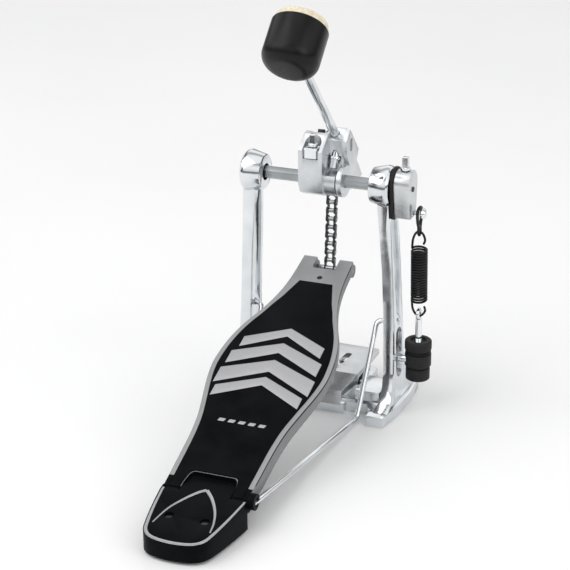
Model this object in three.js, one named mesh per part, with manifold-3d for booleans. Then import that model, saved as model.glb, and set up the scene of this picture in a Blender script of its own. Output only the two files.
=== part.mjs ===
// A single bass drum pedal: a cast frame with two posts, a hexagonal axle with a hub, cam and
// beater, a footboard hinged on a heel plate, a chain between them, and a return spring outside
// the +X post. Millimetres, +Z up. The origin is on the floor under the middle of the axle, +Y
// points at the drum and the player sits at -Y.
import * as THREE from "three";
import { mergeVertices } from "three/addons/utils/BufferGeometryUtils.js";
import Module from "manifold-3d";

const wasm = await Module();
wasm.setup();

// Driving dimensions.
const GAP = 0.3; // clearance between pieces that touch
const CUT = 1; // how far a cutter runs past the face it cuts
const AXLE_Z = 187.6;
const AXLE_FLATS = 9;
const JOURNAL_R = 3.9;
const BASE_T = 9;
const RIDGE_Z = 18;
const FOOT_X = [54.4, 71];
const HUB_X = [44.3, 60.8];
const POST_OFFSET = 1.7; // the posts' middle stands this far to +X of the board's
const HUB_R = [14.2, 16.8];
const BEARING_R = 11;
const BEARING_W = 7;
const WIRE_R = 2.1; // radius rods
const PIN_Y = -219; // heel hinge
const PIN_Z = 19;
const KNUCKLE_R = 4.7;
const HEEL_TOP = [-220, 23.7, 0.138]; // the heel plate's top: y, z there, and its slope
const ROD_BOSS = [-218.2, 23]; // y, z of the boss that the +X radius rod plugs into
const BOARD_TILT = 19.5;
const BOARD_LENGTH = 263;
const BOARD_EDGE = [9, 12.4]; // depth of the side walls at the toe and at the heel
const BOARD_SKIN = 3.6;
const TOP = 4.9; // the board's top face above the hinge line
const TOE_PIN = [27.5, 102.4]; // y, z
const CHAIN_R = 35; // pitch radius of the chain on the cam
const CAM_R = 29.4;
const CHAIN_PITCH = 6.88;
const CHAIN_LINKS = 12; // pitches that hang between the toe pin and the cam
const CAM_PINS = 7; // pins of the stretch that lies on the cam
const CAM_START = 0.15; // where the first of them is, in pitches past the tangent point
const CHAIN_X = 0.5;
const ROLLER_R = 1.65;
const SLEEVE_R = 12.4;
const ROD_X = 12;
const ROD_R = 3.6;
const ROD_LEAN = 43.7;
const ROD_FOOT = [9.6, 220.5]; // y, z where the rod leaves the top of its socket
const HEAD_REACH = 124.3; // from there to the middle of the beater head
const HEAD_R = 21.4;
const HEAD_LENGTH = 38;
const ROCKER_X = [65.7, 78];
const SPRING_X = 82.5;
const SPRING_Y = 8;
const EYE_Z = 83.6;
const COIL_Z = [93, 139];
const COIL_R = 6.75;
const HOOK_R = 0.85;
const HANGER_PIN = [4, 167.5]; // y, z of the pin that the spring hangs on
const STUD_Y = 4.5;
const STUD_Z = 44.3;
const STUD_R = 3.2;
const POST_SCREW = [62.5, 4]; // x, y
const HEEL_SCREW = [13.6, -250.6]; // x, y
const HEX_END = 0.86; // the rocker's end of the axle, against the flats of the rest
const JAW_Z = [20.6, 25];

const CHROME = { color: 0xd6d9dc, roughness: 0.18, metalness: 1 };
const STEEL = { color: 0x9fa6a8, roughness: 0.35, metalness: 1 };
const DARK_STEEL = { color: 0x3a3c3c, roughness: 0.45, metalness: 1 };
const SILVER_PAINT = { color: 0x9a9b9e, roughness: 0.45, metalness: 0.6 };
const BLACK_PLASTIC = { color: 0x17181a, roughness: 0.5, metalness: 0 };
const GLOSS_BLACK = { color: 0x101113, roughness: 0.25, metalness: 0 };
const FELT = { color: 0xe9dfc6, roughness: 0.95, metalness: 0 };
const RUBBER = { color: 0x1c1c1c, roughness: 0.85, metalness: 0 };

const radians = THREE.MathUtils.degToRad;
const point = (x, y, z) => new THREE.Vector3(x, y, z);
const spot = (a, b) => new THREE.Vector2(a, b);

// ---------- solids ----------

// The geometry as a solid that can be joined and cut.
function solid(geometry) {
  const bare = geometry.index ? geometry.toNonIndexed() : geometry.clone();
  bare.deleteAttribute("normal");
  bare.deleteAttribute("uv");
  const merged = mergeVertices(bare, 1e-4);
  return new wasm.Manifold(
    new wasm.Mesh({
      numProp: 3,
      vertProperties: merged.attributes.position.array,
      triVerts: new Uint32Array(merged.index.array),
    }),
  );
}

// A solid as a geometry with flat-shaded normals.
function geometryOf(body) {
  const mesh = body.getMesh();
  const geometry = new THREE.BufferGeometry();
  geometry.setAttribute("position", new THREE.BufferAttribute(mesh.vertProperties, 3));
  geometry.setIndex(new THREE.BufferAttribute(mesh.triVerts, 1));
  const flat = geometry.toNonIndexed();
  flat.computeVertexNormals();
  return flat;
}

const join = (...bodies) => bodies.reduce((all, next) => all.add(next));
const cut = (body, ...tools) => tools.reduce((left, tool) => left.subtract(tool), body);

function block(x, y, z) {
  const box = new THREE.BoxGeometry(x[1] - x[0], y[1] - y[0], z[1] - z[0]);
  return solid(box.translate((x[0] + x[1]) / 2, (y[0] + y[1]) / 2, (z[0] + z[1]) / 2));
}

// A round or many-sided bar between two points, with its own radius at each end.
function bar(from, to, radius, sides = 16, endRadius = radius, turn = 0) {
  const along = to.clone().sub(from);
  const shape = new THREE.CylinderGeometry(endRadius, radius, along.length(), sides);
  shape.rotateY(turn);
  const aim = new THREE.Quaternion().setFromUnitVectors(point(0, 1, 0), along.normalize());
  shape.applyQuaternion(aim);
  const middle = from.clone().add(to).multiplyScalar(0.5);
  return solid(shape.translate(middle.x, middle.y, middle.z));
}

const barX = (x, y, z, radius, sides = 16) => bar(point(x[0], y, z), point(x[1], y, z), radius, sides);
const barZ = (x, y, z, radius, sides = 16) => bar(point(x, y, z[0]), point(x, y, z[1]), radius, sides);

function shapeOf(outline) {
  return new THREE.Shape(outline.map(([a, b]) => spot(a, b)));
}

// An outline drawn in (x, y), from one height to another.
function plateZ(shape, z, curveSegments = 8) {
  const depth = z[1] - z[0];
  const plate = new THREE.ExtrudeGeometry(shape, { depth, bevelEnabled: false, curveSegments });
  return solid(plate.translate(0, 0, z[0]));
}

// An outline drawn in (y, z), from one x to another.
function plateX(shape, x, curveSegments = 8) {
  const depth = x[1] - x[0];
  const plate = new THREE.ExtrudeGeometry(shape, { depth, bevelEnabled: false, curveSegments });
  const turn = new THREE.Matrix4().makeBasis(point(0, 1, 0), point(0, 0, 1), point(1, 0, 0));
  return solid(plate.applyMatrix4(turn).translate(x[0], 0, 0));
}

// A slot outline with round ends, between two points.
function slotShape(a, b, radius) {
  const along = b.clone().sub(a);
  const angle = along.angle();
  const shape = new THREE.Shape();
  shape.absarc(b.x, b.y, radius, angle - Math.PI / 2, angle + Math.PI / 2, false);
  shape.absarc(a.x, a.y, radius, angle + Math.PI / 2, angle + (3 * Math.PI) / 2, false);
  shape.closePath();
  return shape;
}

// A closed skin through rings of points, all with the same count, given from the back to the side
// it is looked at from; flatten gives a point's place in that view.
function loft(rings, flatten = (p) => spot(p.x, p.y)) {
  const count = rings[0].length;
  const faces = [];
  for (let level = 0; level + 1 < rings.length; level++)
    for (let i = 0; i < count; i++) {
      const next = (i + 1) % count;
      const [low, high] = [rings[level], rings[level + 1]];
      faces.push(low[i], low[next], high[next], low[i], high[next], high[i]);
    }
  const cap = (ring) => THREE.ShapeUtils.triangulateShape(ring.map(flatten), []);
  const last = rings[rings.length - 1];
  cap(rings[0]).forEach(([a, b, c]) => faces.push(rings[0][a], rings[0][c], rings[0][b]));
  cap(last).forEach(([a, b, c]) => faces.push(last[a], last[b], last[c]));
  return solid(new THREE.BufferGeometry().setFromPoints(faces));
}

// A profile of [radius, height] pairs turned about +Z, then aimed and placed.
function turned(profile, sides, aim = point(0, 0, 1), place = point(0, 0, 0)) {
  const lathe = new THREE.LatheGeometry(profile.map(([r, h]) => spot(r, h)), sides);
  lathe.applyQuaternion(new THREE.Quaternion().setFromUnitVectors(point(0, 1, 0), aim));
  return solid(lathe.translate(place.x, place.y, place.z));
}

// A round wire along a smooth path.
function wire(points, radius, steps, sides = 8) {
  const section = new THREE.Shape().absarc(0, 0, radius, 0, 2 * Math.PI, false);
  const path = new THREE.CatmullRomCurve3(points, false, "centripetal");
  return solid(
    new THREE.ExtrudeGeometry(section, { steps, extrudePath: path, curveSegments: sides / 2 }),
  );
}

const model = new THREE.Group();

function piece(name, body, finish, parent = model) {
  const mesh = new THREE.Mesh(geometryOf(body), new THREE.MeshStandardMaterial(finish));
  mesh.name = name;
  parent.add(mesh);
}

// The same solid on the other side of the x = 0 plane.
const mirrored = (body) => body.mirror([1, 0, 0]);
const onSide = (body, side) => (side < 0 ? mirrored(body) : body);
const SIDES = { left: -1, right: 1 };

// ---------- frame ----------

// Half of the base plan, from the middle of the front edge round to the middle of the rear edge.
function baseOutline() {
  const [footIn, footOut] = FOOT_X;
  const half = [
    [31, -22],
    [31, -16],
    [48, -16],
    [51, -22],
    [footIn, -24],
    [footIn, -36],
    [68.6, -36],
    [72.6, -9.4],
    [73.7, 19],
    [71.3, 45],
    [footOut - 4, 57],
    [footIn, 57],
    [50, 22],
    [34, 22],
    [34, 52],
  ];
  return [...half, ...half.map(([x, y]) => [-x, y]).reverse()];
}

function basePlate() {
  const plate = plateZ(shapeOf(baseOutline()), [0, BASE_T]);
  const ridges = [-1, 1].map((side) => onSide(block([37, 58], [-12, 18], [BASE_T - CUT, RIDGE_Z]), side));
  const screwHoles = [-1, 1].flatMap((side) => [
    barZ(side * POST_SCREW[0], POST_SCREW[1], [-CUT, RIDGE_Z + CUT], 2.8, 12),
    barZ(side * POST_SCREW[0], POST_SCREW[1], [-CUT, 4.3], 5.3, 12),
  ]);
  const postSeats = [-1, 1].map((side) => onSide(block([57.2, 90], [-14, 20], [BASE_T, 40]), side));
  const boltHole = barZ(0, 0, [2, BASE_T + CUT], 3.4, 12);
  return cut(join(plate, ...ridges), ...postSeats, ...screwHoles, boltHole);
}

// How far out the middle of a post stands at a height: it splays more towards the floor.
function postX(z, side = 1) {
  const drop = AXLE_Z - z;
  return 54.6 + 0.076 * drop - 0.000208 * drop * drop + side * POST_OFFSET * Math.min(1, z / 50);
}

// One level of a post: an H section with flanges in front and behind and a web between them.
function postRing({ z, front, back, width, web, flange, shift = 0 }, side) {
  const x = postX(z, side) + shift;
  const [w, h] = [width / 2, web / 2];
  const outline = [
    [x - w, front], [x + w, front], [x + w, front + flange], [x + h, front + flange],
    [x + h, back - flange], [x + w, back - flange], [x + w, back], [x - w, back],
    [x - w, back - flange], [x - h, back - flange], [x - h, front + flange], [x - w, front + flange],
  ];
  return outline.map(([px, py]) => point(px, py, z));
}

function postBody(side) {
  const levels = [
    { z: BASE_T + GAP, front: -29, back: 44, width: 12, web: 11.8, flange: 14, shift: 1.9 },
    { z: 14, front: -21, back: 37, width: 10, web: 9.8, flange: 12, shift: 2.4 },
    { z: 24, front: -12.5, back: 26, width: 8.4, web: 8.2, flange: 7, shift: 1.6 },
    { z: 36, front: -8.6, back: 20.6, width: 8, web: 7.8, flange: 5, shift: 0.7 },
    { z: 72, front: -6.8, back: 17.2, width: 8, web: 7.8, flange: 4 },
    { z: 80, front: -6.6, back: 16.6, width: 8, web: 3, flange: 3.6 },
    { z: 120, front: -6.8, back: 15.4, width: 8, web: 3, flange: 3.4 },
    { z: 158, front: -8.4, back: 13, width: 8.6, web: 3.4, flange: 3.6 },
    { z: AXLE_Z - 11, front: -9.5, back: 9.5, width: 9, web: 8.8, flange: 5 },
  ];
  return loft(levels.map((level) => postRing(level, side)));
}

function bearingHousing() {
  const [inner, outer] = HUB_X;
  const profile = [
    [0, inner], [HUB_R[0] - 1.6, inner], [HUB_R[0] - 0.4, inner + 0.6], [HUB_R[0], inner + 1.8],
    [HUB_R[1], outer - 4.5], [HUB_R[1] - 0.7, outer - 1.6], [HUB_R[1] - 2.4, outer], [0, outer],
  ];
  return turned(profile, 28, point(1, 0, 0), point(0, 0, AXLE_Z));
}

// A piece of the +X head, moved to its own post and turned over for the -X one.
const onPost = (body, side) => onSide(body.translate([side * POST_OFFSET, 0, 0]), side);

// A post with its bearing housing; the +X one also has the slot of the tension block.
function post(side) {
  const rodHole = bar(point(50, 5.3, 73.5), point(80, 9.8, 73.7), WIRE_R + 0.7, 12);
  const bore = barX([30, 80], 0, AXLE_Z, 6.8, 20);
  const pocket = barX([HUB_X[1] - 1 - BEARING_W + side * POST_OFFSET, 80], 0, AXLE_Z, BEARING_R + GAP, 24);
  const screwHole = barZ(...POST_SCREW, [0, 22], 2.8, 12);
  const head = bearingHousing().translate([side * POST_OFFSET, 0, 0]);
  const body = cut(join(postBody(side), head), bore, pocket, rodHole, screwHole);
  if (side < 0) return mirrored(body);
  const slot = plateX(slotShape(spot(7, 34), spot(7, 62), 7), [postX(50) + 0.5, 90], 6);
  return cut(body, slot);
}

function bearing(side) {
  const start = HUB_X[1] - 1 - BEARING_W + GAP;
  const race = barX([start, start + BEARING_W - GAP], 0, AXLE_Z, BEARING_R, 24);
  return onPost(cut(race, barX([40, 80], 0, AXLE_Z, JOURNAL_R + GAP, 20)), side);
}

// A post is held by a screw from under the base.
function postScrew(side) {
  const head = barZ(...POST_SCREW, [0.4, 4], 5, 12);
  const shank = barZ(...POST_SCREW, [3, 20], 2.4, 12);
  return onSide(join(head, shank), side);
}

// Where a radius rod starts: the +X one in its boss, the -X one in the front of the heel plate.
function heelEnd(side) {
  if (side < 0) {
    return [point(28, -242, 10.8), point(28, -232, 10.8), point(28.6, -221, 10.8), point(31, -200, 10.4)];
  }
  const [y, z] = ROD_BOSS;
  return [
    point(35, y, z - 1.4),
    point(35.8, y + 1.6, z - 1.5),
    point(36.2, y + 5, z - 1.9),
    point(37, -207, 19.9),
  ];
}

// The radius rod: from the heel, forward along the floor, up to the post and out through it.
function radiusRod(side) {
  const route = [
    ...heelEnd(side), point(46.4, -41, 5.2), point(46.6, -35.4, 5.6), point(46.8, -32, 8.6),
    point(48, -14, 39.6), point(49, 1.6, 69.6), point(49.8, 3.8, 72.8), point(52.4, 5.8, 73.6),
    point(postX(73.6, side) + 2.8, 7.6, 73.6),
  ];
  return onSide(wire(route, WIRE_R, 56, 6), side);
}

function endCap() {
  const [, outer] = HUB_X;
  const radius = BEARING_R - 1;
  const profile = [[0, outer + GAP], [radius, outer + GAP], [radius, outer + 1.6], [0, outer + 2.6]];
  return onPost(turned(profile, 20, point(1, 0, 0), point(0, 0, AXLE_Z)), -1);
}

// ---------- hoop clamp ----------

function clampJaw() {
  const [under, top] = JAW_Z;
  const plate = block([-34, 34], [1.5, 55], [under, top]);
  const section = (y, half, low, high) => [
    point(-half, y, low), point(half, y, low), point(half, y, high), point(-half, y, high),
  ];
  const fromFront = (p) => spot(p.x, p.z);
  const brow = section(-11, 25, BASE_T + GAP, 14.2);
  const slope = loft([section(6, 34, under, top), section(1.5, 34, 16.6, top), brow], fromFront);
  const toe = loft([brow, section(-27, 30, BASE_T + GAP, BASE_T + 1.2)], fromFront);
  const holes = [-1, 1].map((side) =>
    plateZ(slotShape(spot(13 * side, 20), spot(14 * side, 36), 2.6), [10, 40]),
  );
  const boltWay = plateZ(slotShape(spot(0, -3), spot(0, 3), 4), [0, 40]);
  const washerSeat = block([-11, 11], [-10, 12], [top - 6, 40]);
  return cut(join(plate, slope, toe), ...holes, boltWay, washerSeat);
}

function clampWasher() {
  const z = JAW_Z[1] - 6 + GAP;
  return cut(barZ(0, 0, [z, z + 1.6], 8, 20), barZ(0, 0, [0, 40], 3.5, 12));
}

function wingBolt() {
  const seat = JAW_Z[1] - 6 + 1.6 + 2 * GAP;
  const shank = barZ(0, 0, [2.4, seat + 1], 3, 12);
  const boss = bar(point(0, 0, seat), point(0, 0, seat + 12), 6.4, 16, 5);
  const wings = shapeOf([
    [-20, 9], [-16, 19], [-9, 19], [-5, 10], [5, 10], [9, 19], [16, 19], [20, 9], [9, 4.2], [-9, 4.2],
  ]);
  const turn = new THREE.Matrix4().makeBasis(point(1, 0, 0), point(0, 0, 1), point(0, -1, 0));
  const web = new THREE.ExtrudeGeometry(wings, { depth: 3, bevelEnabled: false });
  return join(shank, boss, solid(web.applyMatrix4(turn).translate(0, 1.5, seat)));
}

// ---------- heel ----------

function heelPlate() {
  const [topY, topZ, slope] = HEEL_TOP;
  const top = (y) => topZ + (y - topY) * slope;
  const plan = new THREE.Shape();
  plan.moveTo(33.3, -210);
  plan.lineTo(33, -224);
  plan.quadraticCurveTo(29.8, -250, 25.5, -267);
  plan.quadraticCurveTo(23, -276, 14, -278.6);
  plan.quadraticCurveTo(0, -282, -14, -278.6);
  plan.quadraticCurveTo(-23, -276, -25.5, -267);
  plan.quadraticCurveTo(-29.8, -250, -33, -224);
  plan.lineTo(-33.3, -210);
  const side = shapeOf([[-300, 2.3], [-221.5, 2.3], [-221.5, top(-221.5)], [-300, top(-300)]]);
  const body = plateZ(plan, [2.3, 40], 4).intersect(plateX(side, [-40, 40]));
  const hingeWay = join(
    barX([-30.7, 30.7], PIN_Y, PIN_Z, KNUCKLE_R + GAP, 24),
    block([-30.7, 30.7], [-225.4, -200], [0, PIN_Z]),
  );
  const ears = [-1, 1].map((s) => onSide(barX([31, 33.3], PIN_Y, PIN_Z, KNUCKLE_R, 20), s));
  const tongueSide = shapeOf([
    [-232, 10], [-219, 13.4], [-206, 20.4], [-202.6, 24], [-202.6, top(-202.6)], [-232, top(-232)],
  ]);
  const tonguePlan = shapeOf([
    [-19.6, -240], [-19.3, -211], [-17, -202], [17, -202], [19.3, -211], [19.6, -240],
  ]);
  const tongue = plateX(tongueSide, [-19.6, 19.6]).intersect(plateZ(tonguePlan, [0, 40]));
  const pinWay = barX([-40, 40], PIN_Y, PIN_Z, WIRE_R + 2 * GAP, 12);
  const rodWay = bar(point(-28, -244, 10.8), point(-28.6, -218, 10.8), WIRE_R + 2 * GAP, 12);
  const recesses = [-1, 1].map((s) => barZ(s * HEEL_SCREW[0], HEEL_SCREW[1], [16.4, 40], 3.4, 12));
  return cut(join(cut(body, hingeWay), ...ears, tongue), pinWay, rodWay, ...recesses);
}

// The steel pin through the heel plate's ears and tongue and the footboard's knuckles.
function hingePin() {
  return barX([-33.1, 33.1], PIN_Y, PIN_Z, WIRE_R, 12);
}

const heelPad = () => plateZ(shapeOf([[-27, -230], [27, -230], [22, -268], [-22, -268]]), [0, 2]);
const heelScrew = (side) => barZ(side * HEEL_SCREW[0], HEEL_SCREW[1], [16.7, 18.4], 3, 12);

// The black boss beside the hinge, open towards +X, that the +X radius rod plugs into from behind.
function rodBoss() {
  const [y, z] = ROD_BOSS;
  const boss = barX([33.6, 38.6], y, z, 6, 24);
  const mouth = barX([38, 45], y, z, 3.5, 16);
  const rodWay = join(
    barX([33.9, 37.4], y, z - 1.4, WIRE_R + 0.6, 12),
    bar(point(35.6, y, z - 1.4), point(37, -205, 19.8), WIRE_R + 0.7, 12),
  );
  return cut(boss, mouth, rodWay);
}

// ---------- footboard, in its own frame: x across, y along from the hinge, z off the top face ----------

const BOARD_HALF_WIDTHS = [
  [0, 32.2], [12, 32.4], [52, 33.6], [71, 35.5], [90, 39.5], [105, 43], [120, 45.7], [133, 46.4],
  [153, 44.5], [173, 39.5], [194, 31], [214, 25], [234, 22], [262, 20.8],
];

function boardShape(inset, from, to) {
  const edge = new THREE.SplineCurve(BOARD_HALF_WIDTHS.map(([y, w]) => spot(y, w))).getPoints(60);
  const at = (y) => {
    const next = edge.findIndex((p) => p.x >= y);
    const i = Math.max(1, next < 0 ? edge.length - 1 : next);
    const [a, b] = [edge[i - 1], edge[i]];
    return a.y + ((y - a.x) / (b.x - a.x)) * (b.y - a.y);
  };
  const between = edge.filter((p) => p.x > from + 0.5 && p.x < to - 0.5).map((p) => [p.x, p.y]);
  const half = [[from, at(from)], ...between, [to, at(to)]].map(([y, w]) => [w - inset, y]);
  return shapeOf([...half, ...half.map(([x, y]) => [-x, y]).reverse()]);
}

// The inlay's place: it follows the board's edge, and narrows faster than the board does near the toe.
function inlayBody(inset, start, end, depth, grow = 0) {
  const taper = shapeOf([
    [60, -20], [60, 117], [33.4 + grow, 180], [20.3 + grow, 211], [13.5 + grow, 232 + grow],
    [-13.5 - grow, 232 + grow], [-20.3 - grow, 211], [-33.4 - grow, 180], [-60, 117], [-60, -20],
  ]);
  return plateZ(boardShape(inset, start, end), depth).intersect(plateZ(taper, [-20, 20]));
}

// The cutout at the board's lower end that the heel plate's tongue stands in.
function tongueWay(grow = 0) {
  const front = [17.7 + grow, 19.4 + grow];
  const corner = [20 + grow, 8];
  return shapeOf([
    [-corner[0], -20], [-corner[0], corner[1]], [-front[0], front[1]], front, corner, [corner[0], -20],
  ]);
}

const boardFrame = new THREE.Group();
boardFrame.position.set(0, PIN_Y, PIN_Z);
boardFrame.rotation.x = radians(BOARD_TILT);
model.add(boardFrame);
const TOE_LOCAL = spot(TOE_PIN[0] - PIN_Y, TOE_PIN[1] - PIN_Z);
TOE_LOCAL.rotateAround(spot(0, 0), -radians(BOARD_TILT));

function footboard() {
  const [toeEdge, heelEdge] = BOARD_EDGE;
  const side = shapeOf([
    [0.5, TOP], [BOARD_LENGTH, TOP], [BOARD_LENGTH, TOP - toeEdge], [130, TOP - toeEdge],
    [30, TOP - heelEdge], [7, TOP - heelEdge], [0.5, TOP - 7],
  ]);
  const skin = plateZ(boardShape(0, 0.5, BOARD_LENGTH - 1), [-20, TOP]).intersect(plateX(side, [-60, 60]));
  const hollow = plateZ(boardShape(4, 24, 236), [-20, TOP - BOARD_SKIN]);
  const inlay = inlayBody(3.6, -2, 232, [TOP - 1.2, TOP + CUT], 0.4);
  const toeWay = block([-9.6, 9.6], [BOARD_LENGTH - 14, 300], [-20, 20]);
  const { x: toeY, y: toeZ } = TOE_LOCAL;
  const lugs = [-1, 1].map((s) => onSide(barX([10, 20.6], toeY, toeZ, 5.4, 18), s));
  const clearHinge = join(
    barX([-40, 40], 0, 0, KNUCKLE_R + GAP, 24),
    block([-31, 31], [-10, 8], [-20, -3.4]),
  );
  const barrel = barX([20.4, 30.3], 0, 0, KNUCKLE_R, 20);
  const knuckle = join(barrel, block([20.4, 30.3], [0.8, 12], [-3.4, TOP - 1.2]));
  const knuckles = [-1, 1].map((s) => onSide(knuckle, s));
  const pinWay = barX([-40, 40], toeY, toeZ, 2 + GAP, 12);
  const bushWay = barX([-40, 40], 0, 0, 3.5, 14);
  const screwWay = barZ(0.8, BOARD_LENGTH - 25, [-20, 20], 2.2, 10);
  const body = cut(skin, hollow, inlay, toeWay, clearHinge);
  return cut(join(body, ...lugs, ...knuckles), plateZ(tongueWay(), [-20, 20]), pinWay, bushWay, screwWay);
}

function footboardPanel() {
  const panel = inlayBody(4, 1, 231.6, [TOP - 1.2 + GAP, TOP + 0.1]);
  const clearHinge = barX([-40, 40], 0, 0, KNUCKLE_R + 2 * GAP, 24);
  return cut(panel, plateZ(tongueWay(0.4), [-20, 20]), clearHinge);
}

const toePin = () => barX([-20.4, 20.4], TOE_LOCAL.x, TOE_LOCAL.y, 2, 12);
const toeScrew = () => barZ(0.8, BOARD_LENGTH - 25, [TOP - 3.2, TOP - 0.6], 1.9, 10);

function bush(side) {
  return onSide(cut(barX([20.7, 30], 0, 0, 3.2, 14), barX([0, 40], 0, 0, WIRE_R + GAP, 12)), side);
}

// ---------- beater, hub and cam ----------

// A bar with six flats along X.
const hexBar = (x, flats) => barX(x, 0, AXLE_Z, flats / Math.sqrt(3), 6);

function axle() {
  const start = HUB_X[1] - 1 - BEARING_W;
  return join(
    hexBar([POST_OFFSET - start + 1, POST_OFFSET + start - 1], AXLE_FLATS),
    barX([POST_OFFSET - HUB_X[1] + 0.6, 64], 0, AXLE_Z, JOURNAL_R, 20),
    hexBar([63, ROCKER_X[1] - 3], AXLE_FLATS * HEX_END),
  );
}

const rodDirection = point(0, -Math.sin(radians(ROD_LEAN)), Math.cos(radians(ROD_LEAN)));
const rodForward = point(0, -Math.cos(radians(ROD_LEAN)), -Math.sin(radians(ROD_LEAN)));
const onRod = (up, out = 0, x = ROD_X) =>
  point(x, ROD_FOOT[0], ROD_FOOT[1]).addScaledVector(rodDirection, up).addScaledVector(rodForward, out);

function hub() {
  const sleeve = barX([-9, 19], 0, AXLE_Z, SLEEVE_R, 32);
  const waist = barX([18, 21], 0, AXLE_Z, SLEEVE_R - 2.6, 24);
  const cheek = plateX(
    shapeOf([
      [-15.6, 186.5], [-15.6, 213.8], [-2.6, 223.6], [3.6, 224], [9, 216],
      [14, 190], [6, 176.4], [-6, 176], [-12.5, 179.5],
    ]),
    [-9.4, 10],
  );
  const flange = join(
    plateX(
      shapeOf([
        [0.8, 219], [2.2, 207], [8.2, 198], [0, 196], [0, 180],
        [14, 177], [37, 182], [24, 198], [28.5, 205.4], [9.3, 226.5],
      ]),
      [20, 24],
    ),
    barX([20, 24], 0, AXLE_Z, SLEEVE_R, 28),
  );
  const cam = new THREE.Shape().absarc(0, AXLE_Z, CAM_R, radians(-24), radians(88), false);
  cam.lineTo(-6, AXLE_Z + 6);
  cam.lineTo(4, AXLE_Z - 8);
  const camPlate = plateX(cam, [CHAIN_X - 4.6, CHAIN_X + 4.6], 16);
  const socket = plateX(
    shapeOf([
      [2.4, 206.6], [2.4, 218.6], [11.6, 226.7], [22.5, 214], [17, 204], [12, 190], [4, 190], [4, 206.6],
    ]),
    [6, 20.5],
  );
  const body = join(sleeve, waist, cheek, flange, camPlate, socket);
  const axleWay = hexBar([-20, 40], AXLE_FLATS + 2 * GAP);
  const rodWay = bar(onRod(-40), onRod(20), ROD_R + GAP, 16);
  const boltPocket = block([10.2, 19.2], [-20, 3.8], [193.8, 206.6]);
  const boltWay = rodBolt(2 * GAP);
  const window = plateX(slotShape(spot(11.7, 211), spot(11.7, 216.5), 2.4), [19, 26]);
  const bracketWay = plateZ(slotShape(spot(CHAIN_X, -40), spot(CHAIN_X, -9.4), 6.6), [214, 240]);
  const tabWay = block([CHAIN_X - 6.2, CHAIN_X + 6.2], [-30, -13.4], [207.4, 230]);
  const drumSide = block([-20, 20], [2, 60], [150, 240]);
  const overCam = barX([CHAIN_X - 5.4, CHAIN_X + 5.4], 0, AXLE_Z, CHAIN_R + 6, 32);
  const chainWay = cut(overCam.intersect(drumSide), barX([-20, 20], 0, AXLE_Z, CAM_R, 32));
  const keyWay = barZ(CHAIN_X, -9.4, [197, 230], 2.9, 12);
  return cut(body, axleWay, rodWay, boltPocket, boltWay, window, bracketWay, tabWay, keyWay, chainWay);
}

// A key bolt: a threaded shank, a round collar and the square head that a drum key turns.
function keyBolt(from, to, collar, head, grow = 0) {
  const aim = to.clone().sub(from).normalize();
  const at = (d) => to.clone().addScaledVector(aim, d);
  return join(
    bar(from, at(0.5), 2.5 + grow, 12),
    bar(at(-grow), at(collar + grow), 4 + grow, 16),
    bar(at(collar - 0.5), at(collar + head + grow), 3.4 + 2 * grow, 4, 3.1 + 2 * grow, Math.PI / 4),
  );
}

const hubBolt = () => keyBolt(point(CHAIN_X, -9.4, 200), point(CHAIN_X, -9.4, 216.3), 2.2, 7.2);
function rodBolt(grow = 0) {
  return keyBolt(point(ROD_X + 2.2, 7, 213.4), point(ROD_X + 2.2, 2.9, 205.4), 2.2, 7, grow);
}

// The U-shaped lock bracket under the hub bolt.
function lockBracket() {
  const seat = block([CHAIN_X - 5.4, CHAIN_X + 5.4], [-15.5, -6.4], [214.3, 215.9]);
  const tab = block([CHAIN_X - 4.7, CHAIN_X + 4.7], [-15.5, -13.8], [207.8, 215.9]);
  return cut(join(seat, tab), barZ(CHAIN_X, -9.4, [200, 230], 2.9, 12));
}

const beaterRod = () => bar(onRod(-30), onRod(HEAD_REACH - 4), ROD_R, 16);

// The head's own axis is square to the rod: felt on the drum side, rounded shell on the player's.
const headPlace = onRod(HEAD_REACH);
function beaterCup() {
  const h = HEAD_LENGTH / 2;
  const profile = [
    [0, -h], [HEAD_R * 0.6, -h + 0.6], [HEAD_R * 0.84, -h + 3], [HEAD_R * 0.96, -h + 7],
    [HEAD_R, -h + 13], [HEAD_R, h - 3], [HEAD_R - 1, h - 1.4], [0, h - 1.4],
  ];
  const shell = turned(profile, 32, rodForward.clone().negate(), headPlace);
  return cut(shell, bar(onRod(HEAD_REACH - 40), onRod(HEAD_REACH - 4 + GAP), ROD_R + GAP, 16));
}

function beaterFelt() {
  const h = HEAD_LENGTH / 2 - 1.1;
  const rim = HEAD_R - 1.2;
  const profile = [[0, h], [rim, h], [rim, h + 4], [rim - 2.2, h + 6.4], [HEAD_R * 0.5, h + 8.4], [0, h + 8.9]];
  return turned(profile, 32, rodForward.clone().negate(), headPlace);
}

// ---------- rocker ----------

function rockerShape(grow) {
  const shape = new THREE.Shape();
  shape.absarc(0.6, AXLE_Z + 4, 10.8 + grow, 0, Math.PI, false);
  shape.lineTo(-6.6 - grow, 166.5 - grow);
  shape.lineTo(-4.5, 164.5 - grow);
  shape.lineTo(6.5, 164.5 - grow);
  shape.lineTo(9 + grow, 167 - grow);
  return shape;
}

function rocker() {
  const body = plateX(rockerShape(0), ROCKER_X, 10);
  const axleWay = hexBar([60, ROCKER_X[1] - 2.4], AXLE_FLATS * HEX_END + 2 * GAP);
  const boltWay = barZ(72, 0, [193, 210], 2.9, 12);
  const pinWay = barX([70, 90], HANGER_PIN[0], HANGER_PIN[1], 1.9, 12);
  const endWay = barX([76, 90], 0.5, AXLE_Z, 2.2, 12);
  return cut(body, axleWay, boltWay, pinWay, endWay);
}

function rockerBacking() {
  const plate = plateX(rockerShape(1.6), [63, ROCKER_X[0] - GAP], 10);
  return cut(plate, barX([50, 80], 0, AXLE_Z, 5.2, 16));
}

const rockerBolt = () => keyBolt(point(72, 0, 194), point(72, 0, 202.8), 1.8, 8.2);
const rockerScrew = () => barX([76.3, 78.8], 0.5, AXLE_Z, 1.9, 12);

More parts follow.
